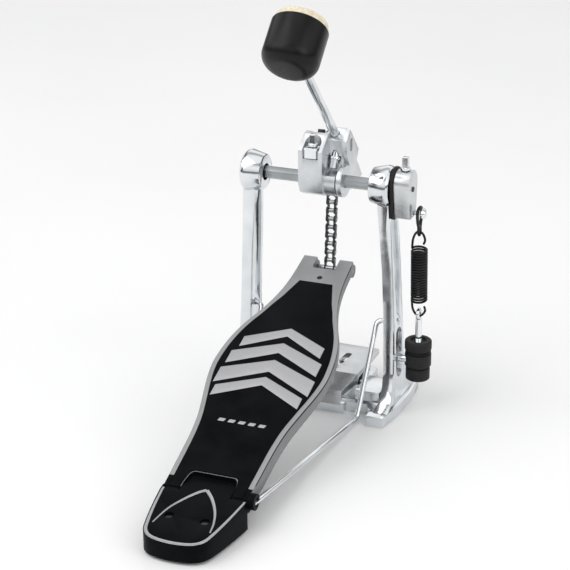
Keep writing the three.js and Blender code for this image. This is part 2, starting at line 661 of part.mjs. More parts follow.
function hangerPin() {
  const [y, z] = HANGER_PIN;
  return join(
    barX([70.3, 86], y, z, 1.6, 12),
    turned([[0, 0], [4.4, 0], [4.4, 1.4], [3, 3], [0, 3.6]], 16, point(1, 0, 0), point(84.6, y, z)),
  );
}

// ---------- chain ----------

// One link: two side plates with round ends.
function link(low, high, wide) {
  const half = wide ? 3.7 : 2.5;
  const [a, b] = [spot(low.y, low.z), spot(high.y, high.z)];
  return [-1, 1].map((s) => {
    const x = CHAIN_X + s * half;
    return plateX(slotShape(a, b, 2.5), [x - 0.6, x + 0.6], 2);
  });
}

// A run of links through the given pin centres.
function chainRun(pins) {
  const rollers = pins.map((p) => barX([CHAIN_X - 4.3, CHAIN_X + 4.3], p.y, p.z, ROLLER_R, 6));
  const plates = pins.slice(1).flatMap((p, i) => link(pins[i], p, i % 2 === 0));
  return join(...rollers, ...plates);
}

const strandLength = CHAIN_PITCH * CHAIN_LINKS;
const toeAngle = Math.atan2(TOE_PIN[1] - AXLE_Z, TOE_PIN[0]);
const tangent = toeAngle + Math.atan2(strandLength, CHAIN_R);
const onCam = (angle) => point(0, CHAIN_R * Math.cos(angle), AXLE_Z + CHAIN_R * Math.sin(angle));

function chainStrand() {
  const low = point(0, TOE_PIN[0], TOE_PIN[1]);
  const high = onCam(tangent);
  const pins = Array.from({ length: CHAIN_LINKS }, (_, i) => low.clone().lerp(high, i / CHAIN_LINKS));
  const pinWay = barX([-40, 40], low.y, low.z, 2 + GAP, 12);
  const sleeve = barX([CHAIN_X - 5, CHAIN_X + 5], low.y, low.z, 3.4, 12);
  return cut(join(chainRun(pins), sleeve), pinWay);
}

function chainOnCam() {
  const step = CHAIN_PITCH / CHAIN_R;
  const pins = Array.from({ length: CAM_PINS }, (_, i) => onCam(tangent + step * (i + CAM_START)));
  return chainRun(pins);
}

function camScrew() {
  const angle = tangent + (CHAIN_PITCH / CHAIN_R) * (CAM_PINS + CAM_START);
  const outward = point(0, Math.cos(angle), Math.sin(angle));
  const from = onCam(angle).addScaledVector(outward, -CHAIN_R + CAM_R + GAP).setX(CHAIN_X);
  return bar(from, from.clone().addScaledVector(outward, 8), 3, 12);
}

// ---------- spring and tension adjuster ----------

function springHanger() {
  const outline = new THREE.Shape();
  outline.absarc(HANGER_PIN[0], HANGER_PIN[1] - 1, 5.6, 0, Math.PI, false);
  outline.absarc(4.6, 152.5, 3.4, Math.PI, 2 * Math.PI, false);
  const hole = new THREE.Path();
  hole.absarc(HANGER_PIN[0], HANGER_PIN[1] - 0.6, 3.9, 0, Math.PI, false);
  hole.lineTo(HANGER_PIN[0] - 2.6, 159.5);
  hole.lineTo(HANGER_PIN[0] + 2.6, 159.5);
  outline.holes.push(hole);
  const low = new THREE.Path().absarc(4.7, 152.9, 1.75, 0, 2 * Math.PI, false);
  outline.holes.push(low);
  return plateX(outline, [SPRING_X - 1.6, SPRING_X + 1.6], 8);
}

const SPRING_SLOPE = (HANGER_PIN[0] - SPRING_Y) / (HANGER_PIN[1] - EYE_Z);
const coilMiddle = (z) => SPRING_Y + SPRING_SLOPE * (z - EYE_Z);
const springPoint = (z) => point(SPRING_X, coilMiddle(z), z);

function springCoil() {
  const [low, high] = COIL_Z;
  const tube = bar(springPoint(low), springPoint(high), COIL_R, 16);
  return cut(tube, bar(springPoint(low - CUT), springPoint(high + CUT), COIL_R - 1.9, 12));
}

function upperHook() {
  const path = [
    springPoint(COIL_Z[1] + 1.4), springPoint(144.5).add(point(4.4, 0, 0)),
    springPoint(150).add(point(3.4, 0, 0)), springPoint(153.2), springPoint(150).add(point(-3.4, 0, 0)),
    springPoint(145.2).add(point(-4.2, 0, 0)),
  ];
  return wire(path, HOOK_R, 16, 6);
}

function lowerHook() {
  const path = [
    springPoint(COIL_Z[0] - 1.2), springPoint(90).add(point(3.6, 0, 0)),
    springPoint(86).add(point(4, 0, 0)), springPoint(83.6), springPoint(86).add(point(-3.4, 0, 0)),
    springPoint(89.4).add(point(-3.4, 0, 0)),
  ];
  return wire(path, HOOK_R, 16, 6);
}

// The eyebolt is flattened round its eye, so that the hook has a plain edge to turn on.
function eyebolt() {
  const shank = barZ(SPRING_X, SPRING_Y, [28.4, EYE_Z - 4], 2.65, 12);
  const flat = barX([SPRING_X - 1.9, SPRING_X + 1.9], SPRING_Y, EYE_Z - 1, 4.6, 18);
  const eyeHole = barX([SPRING_X - 5, SPRING_X + 5], SPRING_Y, EYE_Z - 1, 2.7, 12);
  return join(shank, cut(flat, eyeHole));
}

// A round piece of the nut stack on the eyebolt; a groove of the given width runs round near its foot.
function nutRound(z, radius, grooveWidth = 0) {
  const [low, high] = z;
  const onBolt = (from, to, r, sides = 24) => barZ(SPRING_X, SPRING_Y, [from, to], r, sides);
  const bored = cut(onBolt(low, high, radius), onBolt(low - CUT, high + CUT, 2.65 + GAP, 12));
  if (!grooveWidth) return bored;
  const grooveStart = low + 1;
  const outside = onBolt(grooveStart, grooveStart + grooveWidth, radius + 5);
  return cut(bored, cut(outside, onBolt(low, high, radius - 0.9)));
}

function tensionBlock() {
  const studWay = barX([SPRING_X - 20, SPRING_X - 4.2], STUD_Y, STUD_Z, STUD_R + GAP, 14);
  return cut(nutRound([38.8, 49.9], 10.6), studWay);
}

// The stud that carries the block on the post.
function tensionStud() {
  return barX([postX(STUD_Z) + 1.2, SPRING_X - 4.5], STUD_Y, STUD_Z, STUD_R, 14);
}

// ---------- assembly ----------

piece("base_plate", basePlate(), CHROME);
for (const [name, side] of Object.entries(SIDES)) {
  piece(name + "_post", post(side), CHROME);
  piece(name + "_bearing", bearing(side), STEEL);
  piece(name + "_post_screw", postScrew(side), DARK_STEEL);
  piece(name + "_radius_rod", radiusRod(side), CHROME);
  piece("heel_screw_" + name, heelScrew(side), DARK_STEEL);
  piece(name + "_hinge_bush", bush(side), BLACK_PLASTIC, boardFrame);
}
piece("left_end_cap", endCap(), CHROME);
piece("clamp_pad", block([-28, 28], [24, 51], [BASE_T + GAP, BASE_T + 2]), RUBBER);
piece("clamp_jaw", clampJaw(), CHROME);
piece("clamp_washer", clampWasher(), STEEL);
piece("clamp_wing_bolt", wingBolt(), CHROME);
piece("heel_plate", heelPlate(), BLACK_PLASTIC);
piece("hinge_pin", hingePin(), STEEL);
piece("rod_boss", rodBoss(), BLACK_PLASTIC);
piece("heel_pad", heelPad(), RUBBER);
piece("footboard", footboard(), SILVER_PAINT, boardFrame);
piece("footboard_panel", footboardPanel(), BLACK_PLASTIC, boardFrame);
piece("toe_pin", toePin(), STEEL, boardFrame);
piece("toe_screw", toeScrew(), DARK_STEEL, boardFrame);
piece("hex_axle", axle(), STEEL);
piece("beater_hub", hub(), CHROME);
piece("hub_key_bolt", hubBolt(), CHROME);
piece("hub_lock_bracket", lockBracket(), CHROME);
piece("rod_key_bolt", rodBolt(), CHROME);
piece("beater_rod", beaterRod(), CHROME);
piece("beater_cup", beaterCup(), GLOSS_BLACK);
piece("beater_felt", beaterFelt(), FELT);
piece("rocker", rocker(), CHROME);
piece("rocker_backing", rockerBacking(), BLACK_PLASTIC);
piece("rocker_key_bolt", rockerBolt(), CHROME);
piece("rocker_end_screw", rockerScrew(), DARK_STEEL);
piece("hanger_pin", hangerPin(), CHROME);
piece("chain_strand", chainStrand(), DARK_STEEL);
piece("chain_on_cam", chainOnCam(), DARK_STEEL);
piece("cam_screw", camScrew(), DARK_STEEL);
piece("spring_hanger", springHanger(), BLACK_PLASTIC);
piece("spring_coil", springCoil(), DARK_STEEL);
piece("spring_upper_hook", upperHook(), DARK_STEEL);
piece("spring_lower_hook", lowerHook(), DARK_STEEL);
piece("eyebolt", eyebolt(), CHROME);
piece("upper_tension_nut", nutRound([50.2, 60.8], 10.8, 1.6), BLACK_PLASTIC);
piece("tension_block", tensionBlock(), BLACK_PLASTIC);
piece("tension_stud", tensionStud(), CHROME);
piece("lower_tension_nut", nutRound([27.4, 38.5], 9.7), BLACK_PLASTIC);

export default model;
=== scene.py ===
"""Looks for the bass drum pedal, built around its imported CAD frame.

Lengths in the builders below are in millimetres and become metres as each mesh is made. The frame's own
axes are used throughout: +Z up, +Y towards the drum, +X towards the return spring.
"""

import math

import bmesh
import bpy
from mathutils import Euler, Matrix, Vector
from mathutils.noise import noise


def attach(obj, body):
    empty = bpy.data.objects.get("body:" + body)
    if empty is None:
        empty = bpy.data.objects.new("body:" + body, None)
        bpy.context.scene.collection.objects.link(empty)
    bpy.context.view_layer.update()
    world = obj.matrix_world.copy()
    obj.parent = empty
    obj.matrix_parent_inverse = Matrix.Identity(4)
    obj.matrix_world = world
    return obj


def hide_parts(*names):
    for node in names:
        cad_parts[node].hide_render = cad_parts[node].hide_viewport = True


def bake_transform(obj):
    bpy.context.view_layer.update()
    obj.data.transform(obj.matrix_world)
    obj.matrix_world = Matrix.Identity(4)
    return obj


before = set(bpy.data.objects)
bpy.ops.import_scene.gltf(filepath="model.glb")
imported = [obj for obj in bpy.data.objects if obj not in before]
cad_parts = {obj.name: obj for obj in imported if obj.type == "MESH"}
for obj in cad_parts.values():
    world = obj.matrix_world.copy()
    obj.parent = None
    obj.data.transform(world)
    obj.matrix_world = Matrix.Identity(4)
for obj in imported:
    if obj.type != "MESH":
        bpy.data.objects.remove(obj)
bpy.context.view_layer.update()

MM = 0.001
TAU = 2 * math.pi

# Places and sizes shared with the frame.
AXLE = Vector((0, 0, 187.6))
HEEL_PIN = Vector((0, -219, 19))
BOARD_TILT = math.radians(19.5)
BOARD_TOP = 4.9  # the board's top face above the hinge line
BOARD_END = 262
TOE_PIN = Vector((0, 27.5, 102.4))
CHAIN_PITCH = 6.88
CHAIN_LINKS = 12
CHAIN_RADIUS = 35
CAM_PINS = 7
CAM_START = 0.15
CHAIN_X = 0.5
ROD_LEAN = math.radians(43.7)
ROD_RADIUS = 3.6
ROD_X = 12
ROD_FOOT = Vector((ROD_X, 9.6, 220.5))
HEAD_REACH = 124.3
HEAD_RADIUS = 21.4
HEAD_HALF = 19
EYE = Vector((82.5, 8, 82.6))
HANGER_PIN = Vector((82.5, 4, 167.5))
WIRE_RADIUS = 2.1
KNUCKLE_RADIUS = 4.7
HINGE_CLEARANCE = 0.3
POST_OFFSET = 1.7  # the posts' middle stands this far to +X of the board's

# ---------- materials ----------


def new_material(name):
    made = bpy.data.materials.new(name)
    made.use_nodes = True
    return made, made.node_tree, made.node_tree.nodes["Principled BSDF"]


def surface_noise(tree, scale, detail=3.0, stretch=(1, 1, 1)):
    """A noise texture laid on the row frame's own coordinates, with its size given per metre."""
    place = tree.nodes.new("ShaderNodeTexCoord")
    squeeze = tree.nodes.new("ShaderNodeMapping")
    squeeze.inputs["Scale"].default_value = stretch
    grain = tree.nodes.new("ShaderNodeTexNoise")
    grain.inputs["Scale"].default_value = scale
    grain.inputs["Detail"].default_value = detail
    tree.links.new(place.outputs["Object"], squeeze.inputs["Vector"])
    tree.links.new(squeeze.outputs["Vector"], grain.inputs["Vector"])
    return grain.outputs["Fac"]


def span(tree, value, low, high, start=0.3, end=0.7):
    """The noise value mapped onto a range."""
    made = tree.nodes.new("ShaderNodeMapRange")
    for key, number in (("From Min", start), ("From Max", end), ("To Min", low), ("To Max", high)):
        made.inputs[key].default_value = number
    tree.links.new(value, made.inputs["Value"])
    return made.outputs["Result"]


def tint(tree, value, dark, light):
    """The noise value as a colour between two."""
    ramp = tree.nodes.new("ShaderNodeValToRGB")
    for stop, place, colour in zip(ramp.color_ramp.elements, (0.3, 0.7), (dark, light)):
        stop.position = place
        stop.color = (*colour, 1)
    tree.links.new(value, ramp.inputs["Fac"])
    return ramp.outputs["Color"]


def bump(tree, shader, layers):
    """Stacks bump layers of (height value, strength, depth in metres) onto the shader."""
    normal = None
    for height, strength, depth in layers:
        node = tree.nodes.new("ShaderNodeBump")
        node.inputs["Strength"].default_value = strength
        node.inputs["Distance"].default_value = depth
        tree.links.new(height, node.inputs["Height"])
        if normal:
            tree.links.new(normal, node.inputs["Normal"])
        normal = node.outputs["Normal"]
    tree.links.new(normal, shader.inputs["Normal"])


def metal(name, dark, light, rough, wave=0.25, grain=900, grain_strength=0.08, stretch=(1, 1, 1)):
    """Polished or plated metal: slow waves from the casting, fine polishing grain, uneven gloss."""
    made, tree, shader = new_material(name)
    shader.inputs["Metallic"].default_value = 1
    slow = surface_noise(tree, 45, 2)
    fine = surface_noise(tree, grain, 4, stretch)
    tree.links.new(tint(tree, slow, dark, light), shader.inputs["Base Color"])
    tree.links.new(span(tree, fine, *rough), shader.inputs["Roughness"])
    bump(tree, shader, [(slow, wave, 0.0012), (fine, grain_strength, 0.00008)])
    return made


def plastic(name, dark, light, rough, grain=2600, strength=0.2, depth=0.00006, shine=0.3):
    """Moulded plastic or paint: a fine moulded grain and a slightly uneven gloss."""
    made, tree, shader = new_material(name)
    slow = surface_noise(tree, 60, 3)
    fine = surface_noise(tree, grain, 3)
    tree.links.new(tint(tree, slow, dark, light), shader.inputs["Base Color"])
    tree.links.new(span(tree, slow, *rough), shader.inputs["Roughness"])
    shader.inputs["Specular IOR Level"].default_value = shine
    bump(tree, shader, [(fine, strength, depth)])
    return made


def satin_paint(name, dark, light, metallic=0.55, rough=(0.36, 0.5)):
    """The footboard's silver coat: metal flake under a satin face over a lightly textured casting."""
    made, tree, shader = new_material(name)
    slow = surface_noise(tree, 70, 3)
    flake = surface_noise(tree, 3800, 2)
    shader.inputs["Metallic"].default_value = metallic
    tree.links.new(tint(tree, flake, dark, light), shader.inputs["Base Color"])
    tree.links.new(span(tree, slow, *rough), shader.inputs["Roughness"])
    bump(tree, shader, [(slow, 0.1, 0.0003), (flake, 0.22, 0.00006)])
    return made


def felt_material():
    made, tree, shader = new_material("wool_felt")
    tuft = surface_noise(tree, 420, 6)
    fibre = surface_noise(tree, 2600, 5, (1, 1, 2.4))
    tree.links.new(tint(tree, tuft, (0.74, 0.62, 0.43), (0.93, 0.86, 0.7)), shader.inputs["Base Color"])
    shader.inputs["Roughness"].default_value = 0.95
    shader.inputs["Sheen Weight"].default_value = 0.5
    bump(tree, shader, [(tuft, 0.5, 0.0006), (fibre, 0.6, 0.00025)])
    return made


CAST = metal("polished_cast", (0.66, 0.69, 0.71), (0.8, 0.82, 0.84), (0.1, 0.2), 0.16)
SATIN_CAST = metal("satin_cast", (0.6, 0.62, 0.635), (0.72, 0.74, 0.755), (0.26, 0.4), 0.12)
CHROME = metal("chrome", (0.72, 0.74, 0.76), (0.84, 0.86, 0.88), (0.05, 0.12), 0.12)
AXLE_STEEL = metal("satin_steel", (0.3, 0.32, 0.33), (0.4, 0.42, 0.43), (0.26, 0.42), 0.1,
                   700, 0.2, (0.05, 1, 1))
DARK_STEEL = metal("dark_steel", (0.05, 0.05, 0.055), (0.1, 0.1, 0.105), (0.3, 0.45), 0.1)
CHAIN_PLATE = metal("chain_plate", (0.045, 0.048, 0.05), (0.1, 0.105, 0.11), (0.3, 0.5), 0.2, 1500, 0.2)
CHAIN_ROLLER = metal("chain_roller", (0.25, 0.26, 0.26), (0.5, 0.52, 0.52), (0.15, 0.3), 0.1)
SPRING_BLACK = metal("spring_black", (0.02, 0.02, 0.021), (0.045, 0.045, 0.047), (0.3, 0.45), 0.1)
BOARD = satin_paint("board_silver", (0.33, 0.335, 0.34), (0.45, 0.455, 0.46))
# The board's silver coat painted darker for the side walls: painted shade for the faces turned from the
# light.
BOARD_SHADED_SIDE = satin_paint("board_side_painted_shade", (0.2, 0.2, 0.208), (0.29, 0.29, 0.3), 0.5, (0.42, 0.55))
MARKING = satin_paint("panel_marking", (0.4, 0.4, 0.42), (0.54, 0.54, 0.56), 0.35, (0.4, 0.55))
PANEL = plastic("panel_black", (0.002, 0.0022, 0.0028), (0.0045, 0.005, 0.006), (0.36, 0.5),
                1700, 0.25, 0.0001, 0.05)
HEEL = plastic("heel_black", (0.002, 0.0024, 0.0028), (0.0045, 0.0055, 0.0065), (0.32, 0.44),
               2200, 0.15, 0.00006, 0.04)
HEEL_LINE = satin_paint("heel_line", (0.42, 0.43, 0.44), (0.6, 0.61, 0.62), 0.8, (0.22, 0.34))
NYLON = plastic("nylon_black", (0.009, 0.009, 0.0095), (0.018, 0.018, 0.019), (0.45, 0.62),
                1800, 0.35, 0.0001, 0.25)
CUP = plastic("beater_black", (0.0035, 0.0035, 0.004), (0.007, 0.007, 0.0085), (0.26, 0.36),
              900, 0.06, 0.0001, 0.22)
RUBBER = plastic("rubber_black", (0.01, 0.01, 0.01), (0.02, 0.02, 0.02), (0.7, 0.85), 1200, 0.5, 0.0001)
FELT = felt_material()

# ---------- outlines and paths, in millimetres ----------


def arc(centre, radius, start, end, steps=16):
    """Points on an arc, with its angles in degrees."""
    turn = [math.radians(start + (end - start) * i / steps) for i in range(steps + 1)]
    return [(centre[0] + radius * math.cos(a), centre[1] + radius * math.sin(a)) for a in turn]


def curve(start, pull, end, steps=12):
    """Points on a curve that leaves its start and meets its end heading through the pull point."""
    a, b, c = Vector(start), Vector(pull), Vector(end)
    ways = [i / steps for i in range(steps + 1)]
    return [tuple((1 - t) ** 2 * a + 2 * t * (1 - t) * b + t * t * c) for t in ways]


def pulled_in(path, distance):
    """An open outline moved to its left by a distance."""
    moved = []
    for i, p in enumerate(path):
        way = Vector(path[min(i + 1, len(path) - 1)]) - Vector(path[max(i - 1, 0)])
        moved.append(Vector(p) + Vector((-way.y, way.x)).normalized() * distance)
    return moved


def softened(outline, radius, steps=6):
    """A closed outline with its corners rounded."""
    points = [Vector(p) for p in outline]
    rounded = []
    for i, corner in enumerate(points):
        back, ahead = points[i - 1] - corner, points[(i + 1) % len(points)] - corner
        reach = min(radius, back.length * 0.45, ahead.length * 0.45)
        a, b = corner + back.normalized() * reach, corner + ahead.normalized() * reach
        for s in range(steps + 1):
            t = s / steps
            rounded.append((1 - t) ** 2 * a + 2 * t * (1 - t) * corner + t * t * b)
    return [tuple(p) for p in rounded]


def flowing(points, per=8, closed=False):
    """A smooth curve through the points, which may be in two or three dimensions."""
    known = [Vector(p) for p in points]
    count = len(known)
    spans = count if closed else count - 1

    def at(i):
        return known[i % count] if closed else known[min(max(i, 0), count - 1)]

    made = []
    for i in range(spans):
        p0, p1, p2, p3 = at(i - 1), at(i), at(i + 1), at(i + 2)
        for s in range(per):
            t = s / per
            made.append(
                0.5 * (2 * p1 + (p2 - p0) * t + (2 * p0 - 5 * p1 + 4 * p2 - p3) * t * t
                       + (3 * p1 - p0 - 3 * p2 + p3) * t ** 3)
            )
    return made if closed else made + [known[-1]]


def bent(corners, radius, steps=8):
    """A wire's centreline: straight runs with rounded bends."""
    path = [Vector(corners[0])]
    for a, b, c in zip(corners, corners[1:], corners[2:]):
        a, b, c = Vector(a), Vector(b), Vector(c)
        reach = min(radius, (a - b).length * 0.45, (c - b).length * 0.45)
        start = b + (a - b).normalized() * reach
        end = b + (c - b).normalized() * reach
        for s in range(steps + 1):
            t = s / steps
            path.append((1 - t) ** 2 * start + 2 * t * (1 - t) * b + t * t * end)
    return path + [Vector(corners[-1])]


# ---------- mesh building ----------

ALONG_X = Matrix(((0, 0, 1, 0), (1, 0, 0, 0), (0, 1, 0, 0), (0, 0, 0, 1)))  # outline in (y, z)
FLAT = Matrix.Identity(4)  # outline in (x, y)


def add_prism(bm, outline, low, high, place=FLAT):
    """A plate of that outline, from low to high along its own third axis."""
    rings = [[bm.verts.new(place @ Vector((x, y, h))) for x, y in outline] for h in (low, high)]
    count = len(outline)
    faces = [bm.faces.new(reversed(rings[0])), bm.faces.new(rings[1])]
    for i in range(count):
        j = (i + 1) % count
        faces.append(bm.faces.new((rings[0][i], rings[0][j], rings[1][j], rings[1][i])))
    return faces


def aimed(axis, place=(0, 0, 0)):
    """A matrix that turns +Z onto the axis and moves to the place."""
    return Matrix.Translation(place) @ Vector(axis).to_track_quat("Z", "Y").to_matrix().to_4x4()


def add_lathe(bm, profile, sides=48, place=FLAT, ring=False):
    """A turned body from [radius, height] pairs that start and end on the axis, or close on themselves."""
    rings = []
    for radius, height in profile:
        if radius < 1e-6:
            rings.append([bm.verts.new(place @ Vector((0, 0, height)))])
            continue
        turn = [TAU * i / sides for i in range(sides)]
        spots = [Vector((radius * math.cos(a), radius * math.sin(a), height)) for a in turn]
        rings.append([bm.verts.new(place @ spot) for spot in spots])
    for low, high in zip(rings, rings[1:] + rings[:1] if ring else rings[1:]):
        for i in range(sides):
            j = (i + 1) % sides
            corners = [low[i % len(low)], low[j % len(low)], high[j % len(high)], high[i % len(high)]]
            unique = list(dict.fromkeys(corners))
            if len(unique) > 2:
                bm.faces.new(unique)


def add_sweep(bm, path, radius, sides=14, closed=False):
    """A round wire along a path; radius may be a number or a function of how far along it is."""
    size = radius if callable(radius) else (lambda t: radius)
    count = len(path)
    spans = [path[(i + 1) % count] - path[i] for i in range(count if closed else count - 1)]
    heading = [((spans[i - 1] if i or closed else spans[0]).normalized()
                + spans[min(i, len(spans) - 1)].normalized()).normalized() for i in range(count)]
    side = heading[0].orthogonal().normalized()
    rings = []
    for i, point in enumerate(path):
        side = (side - heading[i] * side.dot(heading[i])).normalized()
        other = heading[i].cross(side)
        r = size(i / max(count - 1, 1))
        spots = [point + r * (math.cos(TAU * k / sides) * side + math.sin(TAU * k / sides) * other)
                 for k in range(sides)]
        rings.append([bm.verts.new(s) for s in spots])
    links = list(zip(rings, rings[1:])) + ([(rings[-1], rings[0])] if closed else [])
    for a, b in links:
        for k in range(sides):
            j = (k + 1) % sides
            bm.faces.new((a[k], a[j], b[j], b[k]))
    if not closed:
        bm.faces.new(reversed(rings[0]))
        bm.faces.new(rings[-1])


def as_object(name, bm, *materials):
    """The bmesh as an object in metres, with its faces turned outwards."""
    bmesh.ops.recalc_face_normals(bm, faces=bm.faces)
    bmesh.ops.scale(bm, vec=(MM, MM, MM), verts=bm.verts)
    mesh = bpy.data.meshes.new(name)
    bm.to_mesh(mesh)
    bm.free()
    made = bpy.data.objects.new(name, mesh)
    bpy.context.scene.collection.objects.link(made)
    for material in materials:
        mesh.materials.append(material)
    return made


def settle(obj):
    """Applies the object's modifiers to its mesh."""
    bpy.context.view_layer.update()
    ready = obj.evaluated_get(bpy.context.evaluated_depsgraph_get())
    mesh = bpy.data.meshes.new_from_object(ready)
    obj.modifiers.clear()
    obj.data = mesh


def smoothed(obj, angle=32):
    """Smooth shading that stops at edges sharper than the angle."""
    for face in obj.data.polygons:
        face.use_smooth = True
    obj.data.set_sharp_from_angle(angle=math.radians(angle))
    return obj


def eased(obj, width, segments=3, angle=28):
    """Rounds the edges sharper than the angle, by a width in millimetres."""
    bevel = obj.modifiers.new("ease", "BEVEL")
    bevel.width = width * MM
    bevel.segments = segments
    bevel.limit_method = "ANGLE"
    bevel.angle_limit = math.radians(angle)
    bevel.harden_normals = False
    bevel.miter_outer = "MITER_ARC"
    settle(obj)
    return smoothed(obj)


def combined(obj, operation, tools):
    """Cuts, joins or intersects the object with other objects, which are used up."""
    for tool in tools:
        change = obj.modifiers.new("combine", "BOOLEAN")
        change.operation = operation
        change.solver = "EXACT"
        change.object = tool
    settle(obj)
    for tool in tools:
        bpy.data.objects.remove(tool)
    return obj


def tool(build, *args, **kwargs):
    """A throwaway solid made by one of the add_ functions."""
    bm = bmesh.new()
    build(bm, *args, **kwargs)
    return as_object("tool", bm)


def placed(obj, body, slot, *nodes):
    """Sets what the piece rides on and hides the CAD nodes it stands for. The slot is not used."""
    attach(obj, body)
    if nodes:
        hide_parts(*nodes)
    return obj


def refined(node, material, width, body, slot, segments=3, flat_angle=1.5, angle=28):
    """A piece with a CAD node's exact shape, its flat faces whole again and its edges rounded."""
    bm = bmesh.new()
    bm.from_mesh(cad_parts[node].data)
    bmesh.ops.remove_doubles(bm, verts=bm.verts, dist=2e-6)
    bmesh.ops.dissolve_limit(bm, angle_limit=math.radians(flat_angle), verts=bm.verts, edges=bm.edges)
    bmesh.ops.recalc_face_normals(bm, faces=bm.faces)
    mesh = bpy.data.meshes.new(node + "_look")
    bm.to_mesh(mesh)
    bm.free()
    made = bpy.data.objects.new(node + "_look", mesh)
    bpy.context.scene.collection.objects.link(made)
    mesh.materials.append(material)
    eased(made, width, segments, angle)
    return placed(made, body, slot, node)


# ---------- cast frame, clamp, hub and rocker: the CAD shapes with eased edges ----------

EASED_NODES = {
    # node: material, edge width, body, slot
    "base_plate": (CAST, 1.1, "frame", "polished_cast"),
    "left_post": (CAST, 1.2, "frame", "polished_cast"),
    "right_post": (CAST, 1.2, "frame", "polished_cast"),
    "left_end_cap": (CAST, 0.4, "frame", "polished_cast"),
    "left_bearing": (AXLE_STEEL, 0.4, "frame", "axle_steel"),
    "right_bearing": (AXLE_STEEL, 0.4, "frame", "axle_steel"),
    "left_post_screw": (DARK_STEEL, 0.3, "frame", "dark_steel"),
    "right_post_screw": (DARK_STEEL, 0.3, "frame", "dark_steel"),
    "rod_boss": (HEEL, 0.7, "frame", "nylon_black"),
    "hinge_pin": (AXLE_STEEL, 0.4, "frame", "axle_steel"),
    "tension_stud": (CHROME, 0.3, "frame", "chrome_wire"),
    "clamp_pad": (RUBBER, 0.4, "frame", "rubber"),
    "clamp_jaw": (SATIN_CAST, 0.8, "clamp_jaw", "polished_cast"),
    "clamp_washer": (AXLE_STEEL, 0.3, "clamp_washer", "axle_steel"),
    "clamp_wing_bolt": (CHROME, 0.8, "wing_bolt", "polished_cast"),
    "hex_axle": (AXLE_STEEL, 0.35, "swing", "axle_steel"),
    "beater_hub": (SATIN_CAST, 0.7, "swing", "polished_cast"),
    "hub_lock_bracket": (CHROME, 0.4, "swing", "polished_cast"),
    "hub_key_bolt": (CHROME, 0.35, "swing", "chrome_wire"),
    "rod_key_bolt": (CHROME, 0.35, "swing", "chrome_wire"),
    "rocker": (SATIN_CAST, 0.9, "swing", "polished_cast"),
    "rocker_backing": (NYLON, 0.4, "swing", "nylon_black"),
    "rocker_key_bolt": (CHROME, 0.35, "swing", "chrome_wire"),
    "rocker_end_screw": (DARK_STEEL, 0.25, "swing", "dark_steel"),
    "hanger_pin": (CHROME, 0.3, "swing", "chrome_wire"),
    "cam_screw": (DARK_STEEL, 0.3, "swing", "dark_steel"),
    "toe_pin": (AXLE_STEEL, 0.3, "footboard", "axle_steel"),
    "toe_screw": (DARK_STEEL, 0.25, "footboard", "dark_steel"),
    "left_hinge_bush": (NYLON, 0.2, "footboard", "nylon_black"),
    "right_hinge_bush": (NYLON, 0.2, "footboard", "nylon_black"),
    "heel_pad": (RUBBER, 0.4, "frame", "rubber"),
    "heel_screw_left": (DARK_STEEL, 0.3, "frame", "dark_steel"),
    "heel_screw_right": (DARK_STEEL, 0.3, "frame", "dark_steel"),
}
for node, (material, width, body, slot) in EASED_NODES.items():
    refined(node, material, width, body, slot)

# ---------- radius rods ----------


# Towards the heel the +X rod plugs into the boss, and the -X rod into the front of the heel plate.
ROD_HEEL_ENDS = {1: [(34.6, -218.2, 21.6), (36.1, -217, 20.9)], -1: [(28, -242, 10.8), (28.7, -221, 10.8)]}


def radius_rod(side):
    post_end = 63.5 + side * POST_OFFSET
    corners = ROD_HEEL_ENDS[side] + [(46.5, -34.4, 4.4), (49.2, 4.2, 73.6), (post_end, 7.6, 73.6)]
    path = [Vector((side * p.x, p.y, p.z)) for p in bent(corners, 5)]
    bm = bmesh.new()
    add_sweep(bm, path, WIRE_RADIUS, 18)
    name = "left_radius_rod" if side < 0 else "right_radius_rod"
    wire = smoothed(as_object(name + "_look", bm, CHROME), 50)
    return placed(wire, "frame", "chrome_wire", name)


for side in (-1, 1):
    radius_rod(side)

# ---------- footboard ----------

BOARD_FRAME = Matrix.Translation(HEEL_PIN) @ Matrix.Rotation(BOARD_TILT, 4, "X")
BOARD_HALF_WIDTHS = [
    (0, 32.2), (26, 32.8), (52, 33.6), (71, 35.5), (90, 39.5), (105, 43), (120, 45.7), (133, 46.4),
    (153, 44.5), (173, 39.5), (194, 31), (214, 25), (234, 22), (262, 20.8),
]
BOARD_EDGE_CURVE = flowing(BOARD_HALF_WIDTHS, 6)


def board_half_width(y):
    for a, b in zip(BOARD_EDGE_CURVE, BOARD_EDGE_CURVE[1:]):
        if a.x <= y <= b.x:
            return a.y + (b.y - a.y) * (y - a.x) / max(b.x - a.x, 1e-6)
    return BOARD_EDGE_CURVE[-1].y


def board_outline(inset, start, end, steps=60):
    """The board's plan between two places along it, pulled in from its edge."""
    along = [start + (end - start) * i / steps for i in range(steps + 1)]
    right = [(board_half_width(y) - inset, y) for y in along]
    return right + [(-x, y) for x, y in reversed(right)]


def inlay_outline(inset, start, end, grow=0.0, steps=90):
    """The inlay's plan: it follows the board's edge, and narrows faster than the board near the toe."""
    def half(y):
        taper = max(13.5 + (232 - y) * 0.324, 20.3 + (211 - y) * 0.4226)
        return min(board_half_width(y) - inset, taper + grow)

    along = [start + (end - start) * i / steps for i in range(steps + 1)]
    right = [(half(y), y) for y in along]
    return right + [(-x, y) for x, y in reversed(right)]


def heel_notch(grow=0.0):
    """The cutout at the board's lower end that the heel plate's tongue fits."""
    half = [(-20 - grow, -30), (-20 - grow, 8), (-17.7 - grow, 19.4 + grow)]
    return softened(half + [(-x, y) for x, y in reversed(half)], 4)


